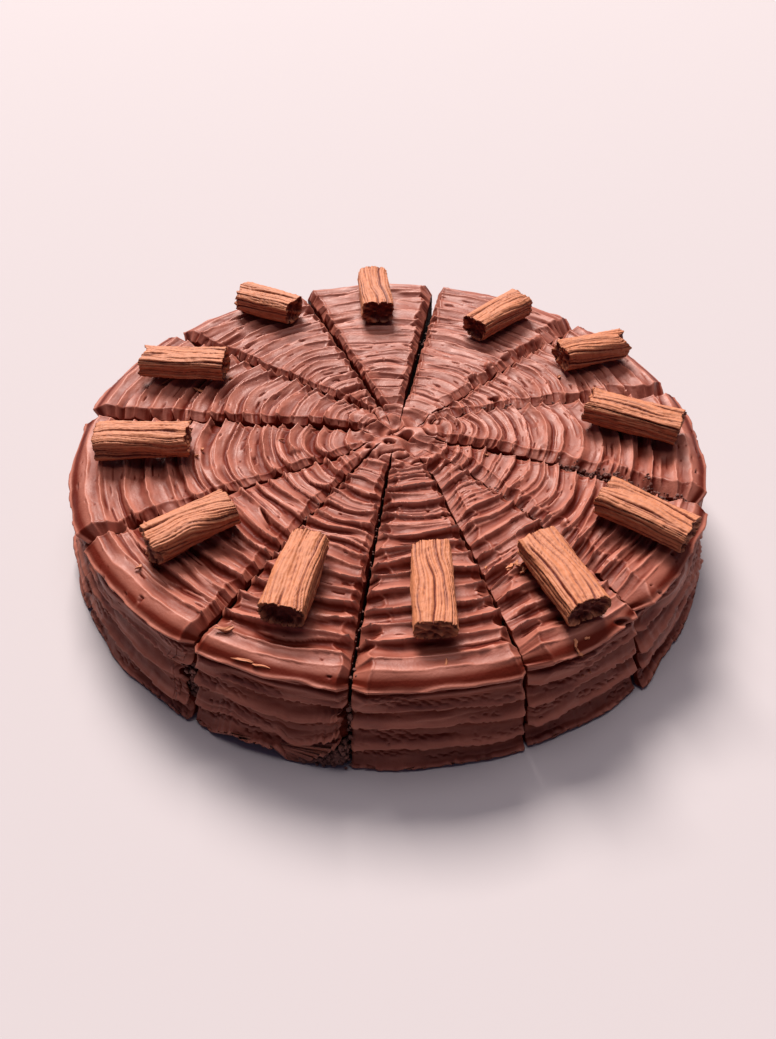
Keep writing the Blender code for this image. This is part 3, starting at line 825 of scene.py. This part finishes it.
for number in range(SLICES):
    shoulder = shoulder_reach(number)
    along = np.linspace(0, TOP_RUN + SHOULDER_RUN, SPONGE_ROWS)[:, None]
    across = np.linspace(1, -1, SPONGE_TOP)
    depth = -(ICING_THICKNESS + FIT_GAP) * np.ones((SPONGE_ROWS, SPONGE_TOP))
    top = place(number, along, across, depth, SPONGE_INSET)
    foot_azimuth = azimuth_across(number, shoulder, across, SPONGE_INSET)
    foot = reach_to(foot_azimuth, FOOT_RADIUS + SLICE_RIMS[number] - ICING_THICKNESS - FIT_GAP)
    bottom = top * (1, 1, 0)
    bottom[-1, :, 0] = HUB[0] + foot * np.cos(foot_azimuth)
    bottom[-1, :, 1] = HUB[1] + foot * np.sin(foot_azimuth)
    down = (np.arange(1, SPONGE_WALL + 1) / (SPONGE_WALL + 1))[None, :, None]
    right = top[:, -1:] + (bottom[:, -1:] - top[:, -1:]) * down
    left = bottom[:, :1] + (top[:, :1] - bottom[:, :1]) * down
    ring = np.hstack([top, right, bottom[:, ::-1], left])
    closing = np.linspace(1, LAST_RING, SPONGE_END_ROWS)[1:, None, None]
    centre = ring[-1].mean(axis=0)
    points = np.vstack([ring, centre + (ring[-1] - centre) * closing])
    x, y, z = points.transpose(2, 0, 1)
    outward = np.stack([x, y], axis=-1) - points.mean(axis=(0, 1))[:2]
    outward = outward / np.linalg.norm(outward, axis=-1, keepdims=True)
    crumbs = 0.5 * lumps(x / 0.0030, y / 0.0030, z / 0.0026, seed=500)
    crumbs += 0.5 * lumps(x / 0.0013, y / 0.0013, z / 0.0013, seed=501)
    points[..., :2] -= CRUMB_DEPTH * (0.6 + crumbs)[..., None] * outward * ease(z, 0, 0.002)[..., None]
    piece = net(f"sponge_slice_{number + 1:02d}", points, sponge)
    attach(piece, "root")
    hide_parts(f"sponge_{number + 1:02d}")

# Sticks: twelve half-length sticks of dull milk chocolate, folded up from thin sheets and broken
# across, so that the ends are crumbly. Each is a sphere's net, drawn out into a squared bar with
# lengthwise folds in it.

# How far the folds twist round each stick, how deep its ends are hollowed, and how ragged its first
# and second end are.
STICK_FOLDS = (
    (0.0008, 0.0020, 0.0006, 0.0022),
    (0.0006, 0.0034, 0.0016, 0.0006),
    (0.0012, 0.0030, 0.0006, 0.0008),
    (0.0014, 0.0020, 0.0012, 0.0028),
    (0.0010, 0.0014, 0.0006, 0.0012),
    (0.0016, 0.0018, 0.0006, 0.0008),
    (0.0012, 0.0036, 0.0008, 0.0010),
    (0.0006, 0.0008, 0.0003, 0.0012),
    (0.0007, 0.0044, 0.0005, 0.0008),
    (0.0034, 0.0018, 0.0020, 0.0004),
    (0.0006, 0.0016, 0.0006, 0.0014),
    (0.0005, 0.0024, 0.0005, 0.0012),
)
STICK_SQUARENESS = 4.0
STICK_TAPER = 0.05
STICK_CREST = (0.560, 0.200, 0.092)
STICK_PAINTED_CLEFT_SHADE = (0.105, 0.009, 0.002)
OUTLINE_POINTS = 1441
AROUND = 168
LENGTHWISE = 80
END_ROWS = 12

# The folds of three sizes: how many go round the stick, how deep the clefts between them are, how
# sharply they are cut, and how long they run before they close up.
FOLDS = (
    (11, 0.00130, 9, 0.024),
    (29, 0.00085, 6, 0.014),
    (58, 0.00040, 4, 0.008),
)
# Painted shade in the clefts: the cleft depth at which it is full, and the share taken off so that shallow
# clefts get none.
DARKEST_CLEFT = 0.0009
SHALLOW_SHADE = 0.12
FOLD_SWING = 0.0010
FOLD_WAVER = 0.0009
STICK_RELIEF = 0.0005
BROKEN_RELIEF = 0.0010

# Stick colour: its own colour on the folds, with painted shade in the clefts and in the ends' pits.
stick_finish, nodes, links, principled = shader("stick_chocolate", 0.60)
_, shade = painted_shade_attribute(nodes, links, 0.0030, 0.5)
painted(nodes, links, principled, shade, STICK_CREST, STICK_PAINTED_CLEFT_SHADE)
principled.inputs["Specular IOR Level"].default_value = 0.30
rough_skin(nodes, links, principled, grain(nodes, links, 0.0007, 5), 0.00015)

angle = np.linspace(0, 2 * np.pi, OUTLINE_POINTS)
squared = np.abs(np.cos(angle)) ** STICK_SQUARENESS + np.abs(np.sin(angle)) ** STICK_SQUARENESS
squared = squared ** (-1 / STICK_SQUARENESS)
for number, (x, y, length, direction, width, tall) in enumerate(STICKS):
    twist, hollow, *rags = STICK_FOLDS[number]
    rng = np.random.default_rng(700 + number)
    outline = np.stack([squared * np.cos(angle) * width / 2, squared * np.sin(angle) * tall / 2], axis=-1)
    steps = np.linalg.norm(np.diff(outline, axis=0), axis=1)
    passed = np.append(0, np.cumsum(steps))
    girth = passed[-1]
    at = np.arange(AROUND) / AROUND * girth
    section = np.stack([np.interp(at, passed, outline[:, k]) for k in (0, 1)], axis=-1)
    tangent = np.roll(section, -1, axis=0) - np.roll(section, 1, axis=0)
    normal = np.stack([tangent[:, 1], -tangent[:, 0]], axis=-1)
    normal /= np.linalg.norm(normal, axis=1, keepdims=True)

    lengthwise = np.linspace(-0.5, 0.5, LENGTHWISE)[:, None] * length
    aside, above = section.T
    swing = twist * np.sin(2.6 * lengthwise / length + number)
    swing = swing + FOLD_SWING * lumps(lengthwise / 0.012, seed=number)
    waver = FOLD_WAVER * lumps(lengthwise / 0.009, aside / 0.006, above / 0.006, seed=number)
    around = at + swing + waver
    relief = STICK_RELIEF * lumps(lengthwise / 0.013, aside / 0.005, above / 0.005, seed=number + 600)
    clefts_at = 0.0
    for count, deep, sharp, run in FOLDS:
        spacing = rng.uniform(0.4, 1.6, count)
        clefts = np.append(0, np.cumsum(spacing)) * girth / spacing.sum()
        sheet = np.searchsorted(clefts, around % girth, side="right") - 1
        share = (around % girth - clefts[sheet]) / np.diff(clefts)[sheet]
        seed = number + 13 * count
        close = ease(lumps(lengthwise / run, sheet + (share > 0.5), seed=seed), -0.6, 0.4)
        cleft = deep * close * np.abs(2 * share - 1) ** sharp
        clefts_at = clefts_at + cleft
        relief -= cleft
        relief += 0.25 * deep * lumps(lengthwise / run, sheet, seed=seed + 1)
    relief += 0.00010 * lumps(around / 0.0007, lengthwise / 0.006, seed=number + 660)
    relief += 0.00012 * lumps(around / 0.0014, lengthwise / 0.0014, seed=number + 680)
    taper = rng.uniform(-STICK_TAPER, STICK_TAPER)
    size = 1 + taper * 2 * lengthwise / length + 0.03 * lumps(lengthwise / 0.014, seed=number + 9)
    body = section * size[..., None] + normal * relief[..., None]
    # Painted shade in the clefts, by how deep they are.
    hollows = np.clip(clefts_at / DARKEST_CLEFT - SHALLOW_SHADE, 0, 1)

    bars = np.concatenate([(lengthwise * np.ones(AROUND))[..., None], body], axis=-1)
    ends = []
    end_hollows = []
    for sign, last, rag in ((-1, 0, rags[0]), (1, LENGTHWISE - 1, rags[1])):
        ring = bars[last]
        broken = rag * (1 + lumps(at / 0.0045, seed=number + sign + 690))
        broken += 0.4 * rag * (1 + lumps(at / 0.0012, seed=number + sign + 700))
        bars[..., 0] -= sign * broken * ease(sign * lengthwise / length, 0.30, 0.5)
        inward = np.linspace(1, LAST_RING, END_ROWS + 1)[1:, None, None]
        flat = section * inward + (ring[:, 1:] - section) * inward**5
        across, up = flat[..., 0], flat[..., 1]
        crumbly = lumps(across / 0.0023, up / 0.0023, seed=number + sign + 710)
        crumbly += 0.7 * lumps(across / 0.0011, up / 0.0011, seed=number + sign + 730)
        inward = inward[..., 0]
        sunk = hollow * (1 - inward**3) + BROKEN_RELIEF * (crumbly + 0.5) * (1 - inward**10)
        deep = broken * inward**2 + sunk
        ends.append(np.concatenate([(sign * (length / 2 - deep))[..., None], flat], axis=-1))
        # The end faces are drawn darker than the bar, patchily, with painted shade where they are sunk in.
        end_hollows.append(np.clip(0.30 + 0.35 * crumbly + 0.8 * (sunk - 0.0006) / 0.0030, 0, 1))
    points = np.concatenate([ends[0][::-1], bars, ends[1]])
    hollows = np.concatenate([end_hollows[0][::-1], hollows, end_hollows[1]])
    low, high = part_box(f"stick_{number + 1:02d}")
    for axis, real in ((1, width), (2, high.z - low.z)):
        points[..., axis] *= real / np.ptp(points[..., axis])
    points[..., 2] += low.z - points[..., 2].min()
    turned = Matrix.Translation((x, y, 0)) @ Matrix.Rotation(np.radians(direction), 4, "Z")
    points = points @ np.array(turned)[:3, :3].T + np.array(turned)[:3, 3]
    piece = net(f"stick_{number + 1:02d}_folded", points, stick_finish, hollows)
    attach(piece, "root")
    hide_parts(f"stick_{number + 1:02d}")

# Loose bits: crumbs of the sponge, pulled out by the knife and lying in the cuts and on the icing,
# and splinters of the sticks. The crumbs are dented icospheres and the splinters dented cubes; the
# bits of each kind are one mesh.

# Where crumbs lie along a cut: the cut, from and up to which distance from the hub, their number,
# how far they stray from it, their size, and how deep they lie under the icing's surface.
CRUMB_LINES = (
    (5, 0.066, 0.116, 150, 0.0017, 0.0010, 0.0005),
    (5, 0.082, 0.100, 40, 0.0030, 0.0008, -0.0001),
    (8, 0.034, 0.070, 12, 0.0006, 0.0006, 0.0016),
    (8, 0.070, 0.120, 30, 0.0012, 0.0007, 0.0012),
    (4, 0.044, 0.054, 16, 0.0016, 0.0009, 0.0008),
    (4, 0.030, 0.090, 26, 0.0010, 0.0008, 0.0004),
    (2, 0.060, 0.112, 16, 0.0014, 0.0008, 0.0026),
    (9, 0.040, 0.085, 16, 0.0006, 0.0007, 0.0010),
    (6, 0.045, 0.080, 14, 0.0010, 0.0007, 0.0000),
)

# Crumbs in the ninth slice's open cut, low at its side: the cut, from and up to which distance from
# the hub, their number and their size. In the tenth slice's chip: from and up to which azimuth in
# degrees, radius and height, and their number. The others fill the ninth slice's broken corner.
OPEN_CUT = (8, 0.116, 0.1290, 70, 0.0011)
OPENING = (-123.8, -120.9, 0.1238, 0.1268, 0.0040, 0.0240, 110)
OPENING_CRUMB = 0.0013
CORNER_CRUMBS = 420
CORNER_FROM = 0.42
CORNER_TO = 0.985
CORNER_INSIDE = 0.1262
CORNER_OUTSIDE = 0.1322
CUT_DEPTH = 0.0022
CRUMB_DARK = (0.070, 0.021, 0.015)
CRUMB_PALE = (0.190, 0.066, 0.046)
DENTS = 0.42
SPLINTER_BEND = 0.8
SPLINTER_TAPER = 0.5


def scattered(name, spots, sizes, stretches, turns, shape, finish, seed):
    """One piece of many dented bits, each turned its own way about its spot."""
    rng = np.random.default_rng(seed)
    one = bmesh.new()
    if shape == "crumb":
        bmesh.ops.create_icosphere(one, subdivisions=2, radius=0.5)
    else:
        bmesh.ops.create_cube(one, size=1)
        bmesh.ops.subdivide_edges(one, edges=one.edges[:], cuts=3, use_grid_fill=True)
    mesh = bpy.data.meshes.new(name)
    one.to_mesh(mesh)
    one.free()
    many = bmesh.new()
    for _ in spots:
        many.from_mesh(mesh)
    many.to_mesh(mesh)
    many.free()

    corners = np.empty(3 * len(mesh.vertices), np.float32)
    mesh.vertices.foreach_get("co", corners)
    x, y, z = corners.reshape(len(spots), -1, 3).astype(float).transpose(2, 0, 1)
    own = rng.uniform(-50, 50, (len(spots), 1))
    tilt = rng.uniform(-0.5, 0.5, (len(spots), 1))
    turn = np.array(turns)[:, None]
    dents = 1 + DENTS * lumps(2.2 * x + own, 2.2 * y, 2.2 * z, seed=3)
    if shape == "splinter":
        taper = 1 - SPLINTER_TAPER * np.abs(2 * x) ** 3
        y = y * taper + SPLINTER_BEND * lumps(2.5 * x + own, seed=4)
        z = z * taper
    sized = np.array(sizes)[:, None, None] * np.array(stretches)[:, None, :] * dents[..., None]
    x, y, z = (sized * np.stack([x, y, z], axis=-1)).transpose(2, 0, 1)
    y, z = y * np.cos(tilt) - z * np.sin(tilt), y * np.sin(tilt) + z * np.cos(tilt)
    x, y = x * np.cos(turn) - y * np.sin(turn), x * np.sin(turn) + y * np.cos(turn)
    moved = np.stack([x, y, z], axis=-1) + np.array(spots)[:, None, :]
    mesh.vertices.foreach_set("co", moved.astype(np.float32).ravel())
    mesh.update()
    mesh.materials.append(finish)
    piece = bpy.data.objects.new(name, mesh)
    bpy.context.scene.collection.objects.link(piece)
    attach(piece, "root")
    return piece


# The icing's skin, and its highest point in each cell of a square grid; where a cell has none, the
# bits lie at the height of a low place in the icing.
CELL = 0.0006
CELLS = 480
LOW_PLACE = TOP_HEIGHT - 0.004
skin = np.concatenate(surface)
heights = np.full((CELLS, CELLS), LOW_PLACE)
row, column = np.rint(skin[:, :2] / CELL).astype(int).T + CELLS // 2
np.maximum.at(heights, (row, column), skin[:, 2])


def surface_at(x, y):
    """Height of the icing's highest point within a cell or so of this place."""
    row = round(x / CELL) + CELLS // 2
    column = round(y / CELL) + CELLS // 2
    return float(heights[row - 1 : row + 2, column - 1 : column + 2].max())


def side_radius(z):
    """Radius of the cake's side at this height, without its ridges."""
    return FOOT_RADIUS + (TOP_RADIUS - FOOT_RADIUS) * z / (TOP_HEIGHT - SHOULDER_RADIUS)


crumb_finish, nodes, links, principled = shader("sponge_crumb", 0.8)
crumb = between(nodes, links, grain(nodes, links, 0.0016, 4), 0, 1)
painted(nodes, links, principled, crumb, CRUMB_DARK, CRUMB_PALE)
rough_skin(nodes, links, principled, grain(nodes, links, 0.0006, 5), 0.0003)

rng = np.random.default_rng(900)
spots = []
sizes = []
for number, start, end, count, stray, size, sunk in CRUMB_LINES:
    for reach in rng.uniform(start, end, count):
        azimuth = cut_azimuth(number, reach)
        x = HUB[0] + reach * np.cos(azimuth) + rng.normal(0, stray / 2)
        y = HUB[1] + reach * np.sin(azimuth) + rng.normal(0, stray / 2)
        spots.append((x, y, surface_at(x, y) - sunk * rng.uniform(0.3, 1.6)))
        sizes.append(size * rng.uniform(0.5, 1.6))
number, start, end, count, size = OPEN_CUT
for reach in rng.uniform(start, end, count):
    azimuth = cut_azimuth(number, reach) + rng.uniform(-0.0006, 0.0006) / reach
    z = rng.uniform(0.001, 0.027)
    reach = min(reach, float(reach_to(azimuth, side_radius(z) - CUT_DEPTH)))
    spots.append((HUB[0] + reach * np.cos(azimuth), HUB[1] + reach * np.sin(azimuth), z))
    sizes.append(size * rng.uniform(0.6, 1.4))
first, last, near, far, low, high, count = OPENING
for _ in range(count):
    azimuth = np.radians(rng.uniform(first, last))
    radius = rng.uniform(near, far)
    spots.append((radius * np.cos(azimuth), radius * np.sin(azimuth), rng.uniform(low, high)))
    sizes.append(OPENING_CRUMB * rng.uniform(0.5, 1.4))
for _ in range(CORNER_CRUMBS):
    across = rng.uniform(CORNER_FROM, CORNER_TO)
    grown = rng.uniform(0.0010, 0.0024)
    radius = rng.uniform(CORNER_INSIDE, CORNER_OUTSIDE - grown / 2)
    ceiling = float(foot_height(BROKEN_SLICE, np.array(across))) - 0.0002
    azimuth = float(azimuth_across(BROKEN_SLICE, TOP_RADIUS, across))
    z = rng.uniform(0.55 * grown, max(ceiling, 0.60 * grown))
    reach = float(reach_to(azimuth, min(radius, side_radius(z))))
    spots.append((HUB[0] + reach * np.cos(azimuth), HUB[1] + reach * np.sin(azimuth), max(z, 0.75 * grown)))
    sizes.append(grown)
stretches = rng.uniform(0.7, 1.15, (len(spots), 3))
turns = rng.uniform(0, 2 * np.pi, len(spots))
crumbs = scattered("sponge_crumbs", spots, sizes, stretches, turns, "crumb", crumb_finish, 901)

# Splinters: place, direction in degrees, length, width and thickness. Those further out than
# SIDE_FROM lie on the cake's side.
SPLINTERS = (
    (-0.0535, -0.1042, 10, 0.0052, 0.0013, 0.0011),
    (0.0585, -0.1084, 80, 0.0036, 0.0008, 0.0006),
    (0.0597, -0.1100, 95, 0.0042, 0.0007, 0.0006),
    (0.0603, -0.1118, 20, 0.0016, 0.0009, 0.0008),
    (0.0632, -0.1071, 45, 0.0018, 0.0008, 0.0007),
    (0.0650, -0.1115, 60, 0.0010, 0.0007, 0.0006),
    (0.0674, -0.1100, 30, 0.0009, 0.0007, 0.0006),
    (0.0169, -0.1176, 88, 0.0034, 0.0005, 0.0005),
    (-0.0867, -0.0765, 80, 0.0022, 0.0010, 0.0008),
    (-0.0760, -0.0154, 40, 0.0014, 0.0011, 0.0009),
    (-0.0440, -0.0033, 10, 0.0024, 0.0006, 0.0006),
    (0.0382, -0.0129, 20, 0.0014, 0.0008, 0.0007),
    (-0.0470, -0.1155, 158, 0.0062, 0.0007, 0.0005),
    (-0.0410, -0.1178, 162, 0.0052, 0.0006, 0.0005),
    (-0.0954, 0.0376, 40, 0.0080, 0.0007, 0.0006),
    (-0.0813, 0.0309, 150, 0.0070, 0.0016, 0.0006),
    (0.0413, -0.0746, 30, 0.0034, 0.0012, 0.0008),
    (0.0440, -0.0752, 110, 0.0028, 0.0010, 0.0008),
    (0.0456, -0.0770, 60, 0.0030, 0.0012, 0.0009),
    (-0.0748, -0.0100, 30, 0.0012, 0.0010, 0.0009),
    (0.0740, 0.0405, 20, 0.0014, 0.0011, 0.0010),
    (-0.0700, 0.0395, 70, 0.0015, 0.0010, 0.0009),
    (0.0330, -0.0760, 10, 0.0012, 0.0008, 0.0007),
)
SIDE_FROM = 0.1280
SIDE_BITS_AT = 0.0240


def seated(x, y, thick):
    """Place of a bit that lies on the icing's top, or on the skin's nearest point further out."""
    out = np.hypot(x, y)
    spot = np.array([x, y, surface_at(x, y) if out < SIDE_FROM else SIDE_BITS_AT])
    if out > TOP_RADIUS - SHOULDER_RADIUS:
        spot = skin[np.argmin(np.sum((skin - spot) ** 2, axis=1))]
    return spot[0], spot[1], spot[2] + thick / 3


spots = [seated(x, y, thick) for x, y, _, _, _, thick in SPLINTERS]
sizes = [length for _, _, _, length, _, _ in SPLINTERS]
stretches = [(1, width / length, thick / length) for _, _, _, length, width, thick in SPLINTERS]
turns = [np.radians(direction) for _, _, direction, _, _, _ in SPLINTERS]
splinters = scattered("stick_splinters", spots, sizes, stretches, turns, "splinter", stick_finish, 902)

# Floor: the plain pale surface that the cake stands on, which isn't part of it. It is one large
# matt plane.
bpy.ops.mesh.primitive_plane_add(size=12, location=(0, 0, 0))
floor = bpy.context.object
floor.name = "floor"
floor_finish, nodes, links, principled = shader("floor", 0.7)
principled.inputs["Base Color"].default_value = (0.435, 0.385, 0.388, 1)
principled.inputs["Specular IOR Level"].default_value = 0.0
floor.data.materials.append(floor_finish)

# Camera and soft lights: the camera stands where the photo was taken from. A broad window light
# comes from the back left and a weaker one from above, in a dim room.
camera = bpy.data.objects.new("camera", bpy.data.cameras.new("camera"))
camera.data.lens = 31.88
camera.location = (-0.0009, -0.2969, 0.2681)
camera.rotation_euler = (np.radians(47.022), 0, 0)
bpy.context.scene.collection.objects.link(camera)
bpy.context.scene.camera = camera
for name, location, size, power, color in (
    ("window", (-1.50, 5.75, 6.75), 3.60, 1720, (1.0, 0.96, 0.92)),
    ("ceiling", (0.10, 0.30, 2.90), 1.80, 42, (1.0, 0.97, 0.98)),
):
    lamp = bpy.data.objects.new(name, bpy.data.lights.new(name, "AREA"))
    lamp.data.shape = "SQUARE"
    lamp.data.size = size
    lamp.data.energy = power
    lamp.data.color = color
    lamp.location = location
    lamp.rotation_euler = (-Vector(location)).to_track_quat("-Z", "Y").to_euler()
    bpy.context.scene.collection.objects.link(lamp)
world = bpy.data.worlds.new("studio")
world.use_nodes = True
world.node_tree.nodes["Background"].inputs["Color"].default_value = (0.76, 0.70, 1.22, 1)
world.node_tree.nodes["Background"].inputs["Strength"].default_value = 0.085
bpy.context.scene.world = world
bpy.context.scene.view_settings.view_transform = "Standard"
